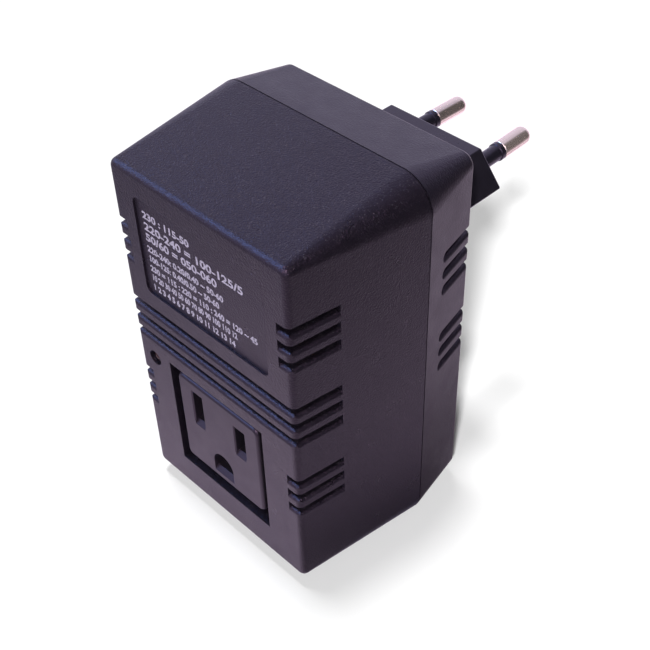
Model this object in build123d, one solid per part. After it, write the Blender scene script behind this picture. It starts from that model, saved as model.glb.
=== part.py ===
from build123d import *
import os
from math import atan2, cos, degrees, pi, sin, tan

# A plug-in step-down voltage transformer. Millimetres, +X right, +Y from the socket face
# towards the wall plug, +Z up. Pieces are drawn with the socket face at y = 0 and the
# lowest edge at z = 0, and moved back at the end so that the origin is under the middle.

# Case outline, measured square to the depth
front_width, front_height, front_corner = 47.0, 81.4, 1.5
seam_width, seam_height, seam_corner = 55.8, 88.5, 7.0
back_width, back_height, back_corner = 49.2, 82.6, 2.5
front_depth = 30.4
rear_depth = 14.9
case_depth = front_depth + rear_depth
mid_z = seam_height / 2
wall = 1.9
front_wall = 2.9
back_wall = 2.0
front_edge_round = 1.4
back_edge_round = 0.9
seam_gap = 0.24
tongue_reach = 1.8
tongue_inset = 1.05
tongue_wall = 0.8

# Louvres: grooves in the front that run into vent slots in the sides, and slots at the back
groove_pitch = 3.92
groove_height = 2.7
groove_depth = 2.1
groove_lip = 0.9
front_group_tops = (72.4, 53.2, 33.6)
groove_start_x = 20.4
groove_end_y = 10.7
rear_group_centres = (64.9, 45.2)
rear_groove_start_y = 35.2

# Rating plate recess
plate_width, plate_height, plate_corner, plate_depth = 34.8, 22.7, 1.6, 0.8
plate_z = 68.45

# Pilot lamp
lamp_x, lamp_z = -18.7, 38.2
lamp_hole_r = 1.75
lamp_r = 1.6
lamp_rim_r = 1.9
lamp_top_y = 0.35
lamp_rim_y = 4.4
lamp_back_y = 5.4

# Socket for a flat-blade plug with a round earth pin
blade_pitch = 12.7
blade_z = 31.25
earth_drop = 11.9
slot_width = 3.0
neutral_slot_z = (27.4, 35.9)
line_slot_z = (27.7, 34.9)
earth_hole_r = 3.0
earth_flat_drop = 2.3
sill = 0.95
mouth_bevel = 0.25
opening_width, opening_height, opening_z = 27.6, 28.3, 25.95
island_width, island_height, island_z = 24.3, 24.3, 26.55
island_recess = 0.25
island_corner = 1.6
island_edge_round = 0.8
flange_width, flange_height, flange_z = 31.2, 37.6, 25.95
flange_front_y = 4.4
flange_thickness = 2.0
housing_width, housing_bottom, housing_top = 25.2, 12.6, 39.2
housing_back_y = 16.2
retainer_thickness = 2.0
contact_y = 7.4
contact_tail_y = 21.2
brass_sheet = 0.6
socket_screw_x, socket_screw_low_z, socket_screw_high_z = 11.0, 9.4, 42.5
socket_screw_tip_y = 2.9

# Wall plug: the flat two-pin block and its pins
plug_z = 65.85
plug_reach = 18.0
plug_width, plug_height, plug_flat = 35.4, 13.6, 24.2
plug_shell = 1.7
plug_nose = 3.5
plug_flange_margin = 1.9
plug_flange_thickness = 1.4
plug_clearance = 0.12
pin_spacing_root, pin_spacing_tip = 18.6, 17.5
pin_length = 19.0
pin_r = 2.0
sleeve_r = 1.75
sleeve_length = 10.0
sleeve_collar = 1.2
sleeve_mouth = 0.4
sleeve_root = 1.5
pin_neck_r = 1.3
pin_tail_r = 1.1
pin_tail_length = 4.3
pin_collar_r, pin_collar_length = 2.6, 1.0

# Case screws and posts
screw_x, low_screw_z, high_screw_z = 18.5, 10.0, 43.2
post_r = 2.6
screw_r = 1.45
screw_hole_r = 1.5
screw_tip_y = 20.0
screw_seat_y = 34.1
screw_head_r, screw_head_height = 2.7, 1.9
screw_well_r = 3.0
screw_tube_r = 3.9

# Transformer: laminations, winding former and frame
core_width, core_leg, core_limb, core_window_height = 41.0, 12.8, 6.4, 21.2
core_yoke = 6.4
stack_depth = 22.0
plate_thickness = 0.5
core_bottom_z = 47.0
core_mid_y = 21.5
frame_sheet = 0.8
former_wall = 0.8
former_gap = 0.2
former_reach = 6.9
former_side = 7.4
common_build, series_build, layer_tape, cover_tape = 3.0, 2.3, 0.2, 0.3
ear_inner_x, ear_bottom_z = 15.0, 39.7
terminal_xs = (-10.5, -4.6, 4.6, 10.5)
terminal_y, terminal_r = 36.6, 0.5
rail_bottom_z = 50.4
terminal_tip_z = 46.9

# Fuse, lamp resistor and wires
fuse_x, fuse_y, fuse_bottom_z, fuse_length, fuse_r = 18.4, 38.0, 52.0, 11.0, 2.0
fuse_lead_r, fuse_lead_z = 0.4, 48.6
resistor_r, resistor_length, resistor_y = 1.15, 6.3, 12.0
lamp_lead_r = 0.25
lamp_lead_pitch = 2.54
lamp_wire_r = 0.55
wire_r = 0.8
touch = 0.02
catch_x, catch_width, catch_rise = 12.0, 4.0, 0.35

overall_depth = case_depth + plug_reach + pin_length
back_y = case_depth
plug_face_y = case_depth + plug_reach
core_front_y = core_mid_y - stack_depth / 2
core_back_y = core_mid_y + stack_depth / 2
window_bottom_z = core_bottom_z + core_yoke
window_top_z = window_bottom_z + core_window_height
core_top_z = window_top_z + core_yoke


# Drawing helpers
def upright(y):
    """Plane square to the depth; sketches on it read X to the right and Z up."""
    return Plane(origin=(0, y, 0), x_dir=(1, 0, 0), z_dir=(0, -1, 0))


def slab(x0, x1, y0, y1, z0, z1):
    centre = ((x0 + x1) / 2, (y0 + y1) / 2, (z0 + z1) / 2)
    return Pos(*centre) * Box(x1 - x0, y1 - y0, z1 - z0)


def rod_y(x, z, radius, y0, y1):
    """Cylinder along the depth."""
    return extrude(upright(y0) * Pos(x, z) * Circle(radius), amount=-(y1 - y0))


def rod_z(x, y, radius, z0, z1):
    return Pos(x, y, (z0 + z1) / 2) * Cylinder(radius, z1 - z0)


def prism_y(sketch, y0, y1):
    """Sketch in X and Z, carried from y0 to y1."""
    return extrude(upright(y0) * sketch, amount=-(y1 - y0))


def blend(a, b, share):
    return a + (b - a) * share


def case_outline(y, inset):
    """Rounded outline of the case at depth y, drawn in by inset on every side."""
    if y <= front_depth:
        share = y / front_depth
        size = [blend(a, b, share) for a, b in (
            (front_width, seam_width), (front_height, seam_height), (front_corner, seam_corner))]
    else:
        share = (y - front_depth) / rear_depth
        size = [blend(a, b, share) for a, b in (
            (seam_width, back_width), (seam_height, back_height), (seam_corner, back_corner))]
    width, height, corner = size
    rounded = RectangleRounded(width - 2 * inset, height - 2 * inset, max(corner - inset, 0.4))
    return upright(y) * Pos(0, mid_z) * rounded


def case_solid(y0, y1, inset):
    return loft([case_outline(y0, inset).face(), case_outline(y1, inset).face()], ruled=True)


def half_width(y):
    if y <= front_depth:
        return blend(front_width, seam_width, y / front_depth) / 2
    return blend(seam_width, back_width, (y - front_depth) / rear_depth) / 2


def wire(points, bends, radius):
    """Round wire along straight runs with an arc at each corner."""
    path = FilletPolyline(*points, radius=bends)
    start = Plane(origin=path @ 0, z_dir=path % 0)
    return sweep(start * Circle(radius), path=path)


def group(parts):
    return Compound(children=[part.solid() if hasattr(part, "solid") else part for part in parts])


# Grooves
def groove_tops(group_top):
    return [group_top - k * groove_pitch for k in range(3)]


def groove_face(z_top, frame):
    """Section of a groove: square under the rib above, with a rounded lip below."""
    low = z_top - groove_height
    sill_z = low + groove_lip
    middle = groove_lip * (1 - cos(pi / 4))
    sides = Polyline((-1, low), (-1, z_top), (groove_depth, z_top),
                     (groove_depth, sill_z), (groove_lip, sill_z))
    lip = ThreePointArc((groove_lip, sill_z), (middle, sill_z - middle), (0, low))
    return frame * make_face(sides + lip + Line((0, low), (-1, low)))


def front_groove(z_top, x0, x1):
    frame = Plane(origin=(x0, 0, 0), x_dir=(0, 1, 0), z_dir=(1, 0, 0))
    return extrude(groove_face(z_top, frame), amount=x1 - x0)


def side_groove(z_top, side):
    """Carries a groove from the front corner along the slanting side."""
    slant = atan2((seam_width - front_width) / 2, front_depth)
    along, inward = Vector(sin(slant), cos(slant), 0), Vector(-cos(slant), sin(slant), 0)
    frame = Plane(origin=Vector(front_width / 2, 0, 0) - along * 2, x_dir=inward, z_dir=along)
    groove = extrude(groove_face(z_top, frame), amount=2 + groove_end_y / cos(slant))
    return groove if side > 0 else mirror(groove, about=Plane.YZ)


def rear_groove(z_top, side):
    """Groove in the rear cover's side, round at its front end and open at the back edge."""
    slant = atan2((seam_width - back_width) / 2, rear_depth)
    along, inward = Vector(-sin(slant), cos(slant), 0), Vector(-cos(slant), -sin(slant), 0)
    start = Vector(half_width(rear_groove_start_y), rear_groove_start_y, 0)
    frame = Plane(origin=start, x_dir=inward, z_dir=along)
    groove = extrude(groove_face(z_top, frame), amount=rear_depth)
    flank = Plane(origin=start - inward, x_dir=along, z_dir=inward)
    z_mid = groove_height / 2 - z_top
    reach = Pos(groove_height / 2 + rear_depth / 2, z_mid) * Rectangle(rear_depth, groove_height)
    reach = reach + Pos(groove_height / 2, z_mid) * Circle(groove_height / 2)
    groove = groove & extrude(flank * reach, amount=groove_depth + 2)
    return groove if side > 0 else mirror(groove, about=Plane.YZ)


# Casing
def screw_places():
    return [(side * screw_x, z) for z in (low_screw_z, high_screw_z) for side in (-1, 1)]


def shell_body():
    """Outer form of the front shell with its cavity, before the details."""
    outer = case_solid(0, front_depth - seam_gap / 2, 0)
    outer = fillet(outer.edges().group_by(Axis.Y)[0], front_edge_round)
    inner = case_solid(front_wall, front_depth - seam_gap / 2, wall)
    rebate = case_solid(front_depth - tongue_reach - 0.3, front_depth, tongue_inset - 0.1)
    return outer - inner - rebate


def socket_frame():
    """Thick frame behind the front wall that the socket insert is screwed to."""
    return slab(-flange_width / 2, flange_width / 2, front_wall - touch, flange_front_y,
                flange_z - flange_height / 2, flange_z + flange_height / 2)


def post_end(z):
    """The upper posts stop at the ears of the transformer frame, the lower ones at the cover."""
    return core_back_y - frame_sheet if z == high_screw_z else core_back_y


def front_posts():
    return [rod_y(x, z, post_r, front_wall - touch, post_end(z)) for x, z in screw_places()]


def core_ribs():
    """Ribs at each side and above that keep the core from moving."""
    ribs = []
    rib_x = core_width / 2 + frame_sheet + 0.15
    for side in (-1, 1):
        for z in (56.5, 77.0):
            inner, outer = side * rib_x, side * (half_width(16) - wall + 0.3)
            ends = sorted((inner, outer))
            ribs.append(slab(*ends, front_wall - touch, 24.0, z - 0.7, z + 0.7))
    for x in (-14, 14):
        ribs.append(slab(x - 0.7, x + 0.7, front_wall - touch, 24.0, core_top_z + frame_sheet + 0.15, 87.0))
    room = case_solid(0.5, front_depth, 0.4)
    return [rib & room for rib in ribs]


def make_front_shell():
    shell = shell_body()
    shell = shell + socket_frame()
    for piece in front_posts() + core_ribs():
        shell = shell + piece
    shell = shell + rod_y(lamp_x, lamp_z, lamp_rim_r + 0.9, front_wall - touch, lamp_rim_y)
    plate = RectangleRounded(plate_width, plate_height, plate_corner)
    shell = shell - prism_y(Pos(0, plate_z) * plate, -1, plate_depth)
    shell = shell - slab(-opening_width / 2, opening_width / 2, -1, flange_front_y + 1,
                         opening_z - opening_height / 2, opening_z + opening_height / 2)
    shell = shell - rod_y(lamp_x, lamp_z, lamp_hole_r, -1, lamp_rim_y + 1)
    for x, z in screw_places():
        shell = shell - rod_y(x, z, screw_hole_r, screw_tip_y - 1, core_back_y + 1)
    for pocket in catches(catch_rise + 0.1, 0.12):
        shell = shell - pocket
    for x, z in socket_screw_places():
        shell = shell - rod_y(x, z, 0.9, socket_screw_tip_y - 0.2, flange_front_y + 1)
    for cut in shell_grooves():
        shell = shell - cut
    return shell


def catches(rise, spread):
    """Two catches at the top of the joint: ridges on the cover, pockets in the shell."""
    base_z = mid_z + blend(front_height, seam_height, 29.5 / front_depth) / 2 - tongue_inset
    blocks = []
    for side in (-1, 1):
        x0 = side * catch_x - catch_width / 2 - spread
        x1 = side * catch_x + catch_width / 2 + spread
        blocks.append(slab(x0, x1, 29.1 - spread, 29.7 + spread, base_z - 0.3, base_z + rise))
    return blocks


def shell_grooves():
    cuts = []
    top_group, middle_group, low_group = [groove_tops(top) for top in front_group_tops]
    for z in middle_group:
        cuts.append(front_groove(z, -seam_width / 2, seam_width / 2))
    for z in top_group + low_group:
        cuts.append(front_groove(z, groove_start_x, seam_width / 2))
        cuts.append(front_groove(z, -seam_width / 2, -groove_start_x))
    for z in top_group + middle_group + low_group:
        cuts += [side_groove(z, side) for side in (-1, 1)]
    return cuts


def plug_outline(margin=0.0):
    """Six-sided plug outline with its long axis level."""
    slope = atan2(plug_height, plug_width - plug_flat)
    half = plug_width / 2 + margin / sin(slope)
    rise = plug_height / 2 + margin
    flat = plug_flat / 2 + margin * tan(slope / 2)
    points = [(half, 0), (flat, rise), (-flat, rise), (-half, 0), (-flat, -rise), (flat, -rise)]
    return Pos(0, plug_z) * make_face(Polyline(*points, close=True))


def plug_hooks():
    """Snap hooks that hold the plug block's flange against the back wall."""
    hooks = []
    edge = plug_height / 2 + plug_flange_margin + 0.15
    inner_y = back_y - back_wall
    for side in (-1, 1):
        for x in (-5, 5):
            z0, z1 = plug_z + side * edge, plug_z + side * (edge + 1.3)
            lip = plug_z + side * (edge - 0.9)
            hooks.append(slab(x - 2, x + 2, inner_y - 3.3, inner_y + touch, min(z0, z1), max(z0, z1)))
            hooks.append(slab(x - 2, x + 2, inner_y - 3.3, inner_y - plug_flange_thickness - 0.1,
                              min(lip, z1), max(lip, z1)))
    return hooks


def make_rear_cover():
    outer = case_solid(front_depth + seam_gap / 2, back_y, 0)
    outer = fillet(outer.edges().group_by(Axis.Y)[-1], back_edge_round)
    cover = outer - case_solid(front_depth + seam_gap / 2, back_y - back_wall, wall)
    tongue = case_solid(front_depth - tongue_reach, front_depth + seam_gap / 2 + 1.0, tongue_inset)
    tongue = tongue - case_solid(front_depth - tongue_reach - 1, front_depth + 2.5,
                                 tongue_inset + tongue_wall)
    cover = cover + tongue
    for ridge in catches(catch_rise, 0):
        cover = cover + ridge
    for x, z in screw_places():
        cover = cover + rod_y(x, z, screw_tube_r, core_back_y + 0.1, back_y - 1.0)
        cover = cover - rod_y(x, z, screw_well_r, screw_seat_y, back_y + 1)
        cover = cover - rod_y(x, z, screw_hole_r + 0.15, screw_seat_y - 3, screw_seat_y + 1)
    cover = cover - prism_y(plug_outline(plug_clearance), back_y - back_wall - 1, back_y + 1)
    for hook in plug_hooks():
        cover = cover + hook
    for centre in rear_group_centres:
        for step in (-1, 0, 1):
            for side in (-1, 1):
                z_top = centre + step * groove_pitch + groove_height / 2
                cover = cover - rear_groove(z_top, side)
    return cover


def make_case_screws():
    screws = []
    for x, z in screw_places():
        screw = rod_y(x, z, screw_r, screw_tip_y, screw_seat_y + touch)
        head = rod_y(x, z, screw_head_r, screw_seat_y, screw_seat_y + screw_head_height)
        head = fillet(head.edges().group_by(Axis.Y)[-1], 0.8)
        screw = screw + head
        for turn in (0, 90):
            cross = Pos(x, screw_seat_y + screw_head_height, z) * Rot(0, turn, 0) * Box(2.6, 2.2, 0.6)
            screw = screw - cross
        screws.append(screw)
    return group(screws)


# Socket
def socket_screw_places():
    return [(side * socket_screw_x, z) for z in (socket_screw_low_z, socket_screw_high_z) for side in (-1, 1)]


def earth_outline(radius, drop):
    """Round hole with a flat at the bottom."""
    round_part = Circle(radius)
    foot = Pos(0, -drop / 2) * Rectangle(2 * radius, drop)
    keep = Pos(0, (radius - drop) / 2) * Rectangle(4 * radius, radius + drop)
    return Pos(0, blade_z - earth_drop) * ((round_part + foot) & keep)


def socket_openings(y0, y1):
    """Two blade slots and the earth hole, carried from y0 to y1."""
    cuts = [slab(x0, x1, y0, y1, z0, z1) for x0, x1, z0, z1 in blade_slots()]
    return cuts + [prism_y(earth_outline(earth_hole_r, earth_flat_drop), y0, y1)]


def blade_slots():
    slots = []
    for side, (z0, z1) in ((-1, neutral_slot_z), (1, line_slot_z)):
        x = side * blade_pitch / 2
        slots.append((x - slot_width / 2, x + slot_width / 2, z0, z1))
    return slots


def sloping_sill(x0, x1, z_top):
    """Wedge below an opening, so that its lower edge slopes in from the face."""
    points = [(island_recess - 1, z_top - sill - 1), (island_recess + sill, z_top),
              (island_recess - 1, z_top)]
    frame = Plane(origin=(x0, 0, 0), x_dir=(0, 1, 0), z_dir=(1, 0, 0))
    return extrude(frame * make_face(Polyline(*points, close=True)), amount=x1 - x0)


def bevelled_mouths():
    """Flared mouths at the face of the insert, each with a sloping sill."""
    mouths = []
    for x0, x1, z0, z1 in blade_slots():
        middle = Pos((x0 + x1) / 2, (z0 + z1) / 2)
        wide = middle * Rectangle(x1 - x0 + 2 * mouth_bevel, z1 - z0 + 2 * mouth_bevel)
        tight = middle * Rectangle(x1 - x0, z1 - z0)
        faces = [(upright(island_recess) * wide).face(),
                 (upright(island_recess + mouth_bevel) * tight).face()]
        mouths.append(loft(faces, ruled=True))
        mouths.append(sloping_sill(x0, x1, z0))
    flat_z = blade_z - earth_drop - earth_flat_drop
    mouths.append(sloping_sill(-earth_hole_r, earth_hole_r, flat_z))
    return mouths


def make_socket_insert():
    island = prism_y(Pos(0, island_z) * RectangleRounded(island_width, island_height, island_corner),
                     island_recess, flange_front_y + touch)
    island = fillet(island.edges().group_by(Axis.Y)[0], island_edge_round)
    flange = prism_y(Pos(0, flange_z) * RectangleRounded(flange_width - 0.3, flange_height - 0.3, 1.5),
                     flange_front_y, flange_front_y + flange_thickness)
    housing = slab(-housing_width / 2, housing_width / 2, flange_front_y + flange_thickness - touch,
                   housing_back_y, housing_bottom, housing_top)
    insert = island + flange + housing
    for cut in contact_cells() + socket_openings(-1, 9) + bevelled_mouths():
        insert = insert - cut
    for x, z in socket_screw_places():
        insert = insert - rod_y(x, z, 1.2, flange_front_y - 1, flange_front_y + flange_thickness + 1)
    for z in retainer_screw_heights():
        insert = insert - rod_y(0, z, 0.9, housing_back_y - 4.5, housing_back_y + 1)
    return insert


def contact_cells():
    """Chambers behind the openings that hold the contacts."""
    cells = []
    for side in (-1, 1):
        x = side * blade_pitch / 2
        cells.append(slab(x - 2.9, x + 2.9, contact_y - 0.6, housing_back_y + 1,
                          blade_z - 4.9, blade_z + 4.9))
    z = blade_z - earth_drop
    cells.append(slab(-3.7, 3.7, contact_y - 0.6, housing_back_y + 1, z - 3.7, z + 3.7))
    return cells


def blade_contact(side):
    """Folded brass clip that grips a flat blade, with a solder tag at the back."""
    x = side * blade_pitch / 2
    back = 14.6
    right_leaf = Polyline((1.7, contact_y), (0.75, contact_y + 2.4), (1.25, back), (1.25 + brass_sheet, back),
                          (0.75 + brass_sheet, contact_y + 2.5), (1.7 + brass_sheet, contact_y), close=True)
    leaf = make_face(right_leaf)
    sketch = leaf + mirror(leaf, about=Plane.YZ)
    sketch = sketch + Pos(0, back + brass_sheet / 2) * Rectangle(2 * (1.25 + brass_sheet), brass_sheet)
    body = extrude(Plane.XY.offset(blade_z - 3.6) * Pos(x, 0) * sketch, amount=7.2)
    tag = slab(x - brass_sheet / 2, x + brass_sheet / 2, back + brass_sheet - touch, contact_tail_y,
               blade_z - 1.6, blade_z + 1.6)
    return body + tag


def make_earth_contact():
    """Split brass sleeve for the round pin, with a spare tag."""
    z = blade_z - earth_drop
    sleeve = rod_y(0, z, 3.0, contact_y, 14.0) - rod_y(0, z, 3.0 - brass_sheet, contact_y - 1, 13.4)
    sleeve = sleeve - slab(-0.6, 0.6, contact_y - 1, 12.5, z - 4, z)
    tag = slab(-1.6, 1.6, 14.0 - touch, contact_tail_y - 1.6, z - brass_sheet / 2, z + brass_sheet / 2)
    return sleeve + tag


def make_contact_retainer():
    """Plate that closes the contact chambers and lets the tags through."""
    plate = slab(-housing_width / 2, housing_width / 2, housing_back_y, housing_back_y + retainer_thickness,
                 housing_bottom, housing_top)
    plate = fillet(plate.edges().filter_by(Axis.Y), 1.0)
    for side in (-1, 1):
        x = side * blade_pitch / 2
        plate = plate - slab(x - 0.5, x + 0.5, housing_back_y - 1, housing_back_y + 3,
                             blade_z - 1.8, blade_z + 1.8)
    z = blade_z - earth_drop
    plate = plate - slab(-1.8, 1.8, housing_back_y - 1, housing_back_y + 3, z - 0.5, z + 0.5)
    for z in retainer_screw_heights():
        plate = plate - rod_y(0, z, 1.1, housing_back_y - 1, housing_back_y + 3)
    return plate


def retainer_screw_heights():
    return (blade_z + 4.6, blade_z - 5.4)


def small_screw(x, z, radius, head_r, seat_y, length):
    """Pan-head screw seen from the back, driven towards the socket face."""
    shank = rod_y(x, z, radius, seat_y - length, seat_y + touch)
    head = fillet(rod_y(x, z, head_r, seat_y, seat_y + 1.3).edges().group_by(Axis.Y)[-1], 0.5)
    screw = shank + head
    slot = slab(x - head_r, x + head_r, seat_y + 0.75, seat_y + 2, z - 0.25, z + 0.25)
    return screw - slot


def make_socket_screws():
    seat = flange_front_y + flange_thickness
    reach = seat - socket_screw_tip_y
    return group([small_screw(x, z, 0.88, 1.9, seat, reach) for x, z in socket_screw_places()])


def make_retainer_screws():
    seat = housing_back_y + retainer_thickness
    return group([small_screw(0, z, 0.88, 1.8, seat, 6.0) for z in retainer_screw_heights()])


# Pilot lamp
def make_pilot_lamp():
    body = rod_y(lamp_x, lamp_z, lamp_r, lamp_top_y + lamp_r, lamp_back_y)
    dome = Pos(lamp_x, lamp_top_y + lamp_r, lamp_z) * Sphere(lamp_r)
    rim = rod_y(lamp_x, lamp_z, lamp_rim_r, lamp_rim_y, lamp_back_y)
    return body + dome + rim


def lamp_leg_x(side):
    return lamp_x + side * lamp_lead_pitch / 2


def make_lamp_leads():
    """Two tinned legs; the outer one reaches the resistor."""
    ends = ((-1, resistor_y), (1, 11.0))
    return group([rod_y(lamp_leg_x(side), lamp_z, lamp_lead_r, lamp_back_y, end) for side, end in ends])


def make_lamp_resistor():
    x = lamp_leg_x(-1)
    body = rod_y(x, lamp_z, resistor_r, resistor_y, resistor_y + resistor_length)
    body = fillet(body.edges(), 0.4)
    tail_y = resistor_y + resistor_length
    tail = rod_y(x, lamp_z, lamp_lead_r, tail_y - touch, tail_y + 2.4)
    return body + tail


# Plug block and pins
def make_plug_block():
    outer = prism_y(plug_outline(), back_y - back_wall - touch, plug_face_y)
    outer = fillet(outer.edges().group_by(Axis.Y)[-1], 0.5)
    flange = prism_y(plug_outline(plug_flange_margin),
                     back_y - back_wall - plug_flange_thickness, back_y - back_wall)
    block = outer + flange
    cavity = prism_y(plug_outline(-plug_shell), back_y - back_wall - plug_flange_thickness - 1,
                     plug_face_y - plug_nose)
    block = block - cavity
    for side in (-1, 1):
        block = block - pin_frame(side) * pin_bore()
    return block


def pin_lean():
    return degrees(atan2((pin_spacing_root - pin_spacing_tip) / 2, pin_length))


def pin_frame(side):
    """Pin axis: local Z runs out of the plug face, leaning in towards the other pin."""
    return Location((side * pin_spacing_root / 2, plug_face_y, plug_z), (-90, -side * pin_lean(), 0))


def local_rod(radius, z0, z1):
    return Pos(0, 0, (z0 + z1) / 2) * Cylinder(radius, z1 - z0)


def pin_bore():
    """Room in the plug nose for a pin's neck and sleeve, with a bevelled mouth."""
    neck = local_rod(pin_neck_r, -plug_nose - 1, 1)
    mouth = Cone(sleeve_r, sleeve_r + 2 * sleeve_mouth, 2 * sleeve_mouth)
    return neck + local_rod(sleeve_r, -sleeve_root, 1) + mouth


def make_plug_pin(side):
    shank = local_rod(pin_neck_r, -plug_nose - 0.2, sleeve_length + touch)
    blade = local_rod(pin_r, sleeve_length, pin_length)
    blade = fillet(blade.edges().group_by(Axis.Z)[-1], 1.6)
    collar = local_rod(pin_collar_r, -plug_nose - 0.2 - pin_collar_length, -plug_nose - 0.2)
    tail_top = -plug_nose - 0.2 - pin_collar_length
    tail = local_rod(pin_tail_r, tail_top - pin_tail_length, tail_top + touch)
    return pin_frame(side) * (shank + blade + collar + tail)


def make_pin_sleeve(side):
    sleeve = local_rod(sleeve_r, -sleeve_root, sleeve_length)
    sleeve = sleeve + local_rod(pin_r, sleeve_length - sleeve_collar, sleeve_length)
    return pin_frame(side) * (sleeve - local_rod(pin_neck_r, -sleeve_root - 1, sleeve_length + 1))


def pin_tail_end(side):
    """Centre of the inner end of a pin's solder tail."""
    reach = -plug_nose - 0.2 - pin_collar_length - pin_tail_length
    return pin_frame(side) * Pos(0, 0, reach)


# Transformer
def core_plate_outline():
    """E-shaped plate with its limbs pointing up."""
    full = Rectangle(core_width, core_yoke + core_window_height, align=(Align.CENTER, Align.MIN))
    window_width = (core_width - core_leg - 2 * core_limb) / 2
    outline = full
    for side in (-1, 1):
        x = side * (core_leg + window_width) / 2
        outline = outline - Pos(x, core_yoke) * Rectangle(
            window_width, core_window_height, align=(Align.CENTER, Align.MIN))
    return Pos(0, core_bottom_z) * outline


def plate_places():
    count = round(stack_depth / plate_thickness)
    return [core_front_y + k * plate_thickness for k in range(count)]


def make_core_e_plates():
    plate = prism_y(core_plate_outline(), 0, plate_thickness)
    return group([Pos(0, y, 0) * plate for y in plate_places()])


def make_core_i_plates():
    outline = Pos(0, window_top_z) * Rectangle(core_width, core_yoke, align=(Align.CENTER, Align.MIN))
    plate = prism_y(outline, 0, plate_thickness)
    return group([Pos(0, y, 0) * plate for y in plate_places()])


def make_transformer_frame():
    """Steel channel round the core with two screw ears below."""
    half = core_width / 2
    outer = slab(-half - frame_sheet, half + frame_sheet, core_front_y, core_back_y,
                 core_bottom_z - frame_sheet, core_top_z)
    inner = slab(-half, half, core_front_y - 1, core_back_y + 1, core_bottom_z, core_top_z + 1)
    frame = outer - inner
    for side in (-1, 1):
        ear_xs = sorted((side * ear_inner_x, side * (half + frame_sheet)))
        ear = slab(*ear_xs, core_back_y - frame_sheet, core_back_y,
                   ear_bottom_z, core_bottom_z - frame_sheet + touch)
        frame = frame + ear
        frame = frame - rod_y(side * screw_x, high_screw_z, screw_hole_r + 0.15,
                              core_back_y - 2, core_back_y + 1)
        lip_xs = sorted((side * half, side * (half - 2.5)))
        lip = slab(*lip_xs, core_front_y + 3, core_back_y - 3, core_top_z, core_top_z + frame_sheet)
        web_xs = sorted((side * half, side * (half + frame_sheet)))
        web = slab(*web_xs, core_front_y + 3, core_back_y - 3, core_top_z - touch, core_top_z + frame_sheet)
        frame = frame + lip + web
    return frame


def former_ring(x_half, y_half, z0, z1, corner=1.0):
    sketch = RectangleRounded(2 * x_half, 2 * y_half, corner)
    return extrude(Plane.XY.offset(z0) * Pos(0, core_mid_y) * sketch, amount=z1 - z0)


def coil_layer(start, build):
    """Wound layer between the former's flanges, from start to start + build off the tube."""
    tube_x = core_leg / 2 + former_gap + former_wall
    tube_y = stack_depth / 2 + former_gap + former_wall
    z0 = window_bottom_z + former_gap + former_wall
    z1 = window_top_z - former_gap - former_wall
    outer = former_ring(tube_x + start + build, tube_y + start + build, z0, z1, 0.6 + start + build)
    inner = former_ring(tube_x + start, tube_y + start, z0 - 1, z1 + 1, 0.6 + start)
    return outer - inner


def make_winding_former():
    tube_x = core_leg / 2 + former_gap + former_wall
    tube_y = stack_depth / 2 + former_gap + former_wall
    z0, z1 = window_bottom_z + former_gap, window_top_z - former_gap
    former = former_ring(tube_x, tube_y, z0, z1, 0.6)
    for low in (z0, z1 - former_wall):
        cheek = former_ring(tube_x + former_side - 1.0, stack_depth / 2 + former_reach, low, low + former_wall, 1.5)
        former = former + cheek
    former = former - former_ring(tube_x - former_wall, tube_y - former_wall, z0 - 1, z1 + 1, 0.3)
    rail = slab(-13, 13, core_back_y + 0.7, core_back_y + former_reach - 0.5, rail_bottom_z, z0 + 0.3)
    former = former + rail
    for x in terminal_xs:
        former = former - rod_z(x, terminal_y, terminal_r, rail_bottom_z - 1, rail_bottom_z + 2)
    return former


def make_terminals():
    return group([rod_z(x, terminal_y, terminal_r, terminal_tip_z, rail_bottom_z + 2) for x in terminal_xs])


# Fuse and wires
def make_thermal_fuse():
    body = fillet(rod_z(fuse_x, fuse_y, fuse_r, fuse_bottom_z, fuse_bottom_z + fuse_length).edges(), 0.5)
    fuse_top_z = fuse_bottom_z + fuse_length
    top = rod_z(fuse_x, fuse_y, fuse_lead_r, fuse_top_z - touch, fuse_top_z + 3)
    tag_x = terminal_xs[3] + terminal_r
    points = [(fuse_x, fuse_y, fuse_bottom_z + touch), (fuse_x, fuse_y, fuse_lead_z),
              (tag_x + 3, terminal_y, fuse_lead_z), (tag_x, terminal_y, fuse_lead_z)]
    return body + top + wire(points, [1.2, 1.2], fuse_lead_r)


def wire_from_pin(side, points, bends):
    """Wire that starts in line with the inner end of a pin."""
    end = pin_tail_end(side)
    axis_point = end * Pos(0, 0, -3)
    first = tuple(end.position)
    second = tuple(axis_point.position)
    return wire([first, second] + points, bends, wire_r)


def make_common_wire():
    """Left pin to the common terminal."""
    x = terminal_xs[0]
    y, low = 40.5, 42.6
    points = [(x, y, 62.0), (x, y, low), (x, terminal_y, low), (x, terminal_y, terminal_tip_z)]
    return wire_from_pin(-1, points, [2.5, 2.0, 1.7, 1.7])


def make_fused_wire():
    """Right pin to the fuse."""
    top = fuse_bottom_z + fuse_length + 3
    points = [(fuse_x - 5.6, 40.4, 67.6), (fuse_x, fuse_y, top + 4), (fuse_x, fuse_y, top)]
    return wire_from_pin(1, points, [2.2, 2.0, 1.6])


def output_wire(terminal, side):
    x = terminal_xs[terminal]
    tag_x = side * blade_pitch / 2
    points = [(x, terminal_y, terminal_tip_z), (x, terminal_y, 41.5), (tag_x, 31.0, blade_z),
              (tag_x, contact_tail_y, blade_z)]
    return wire(points, [3.0, 3.5], wire_r)


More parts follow.
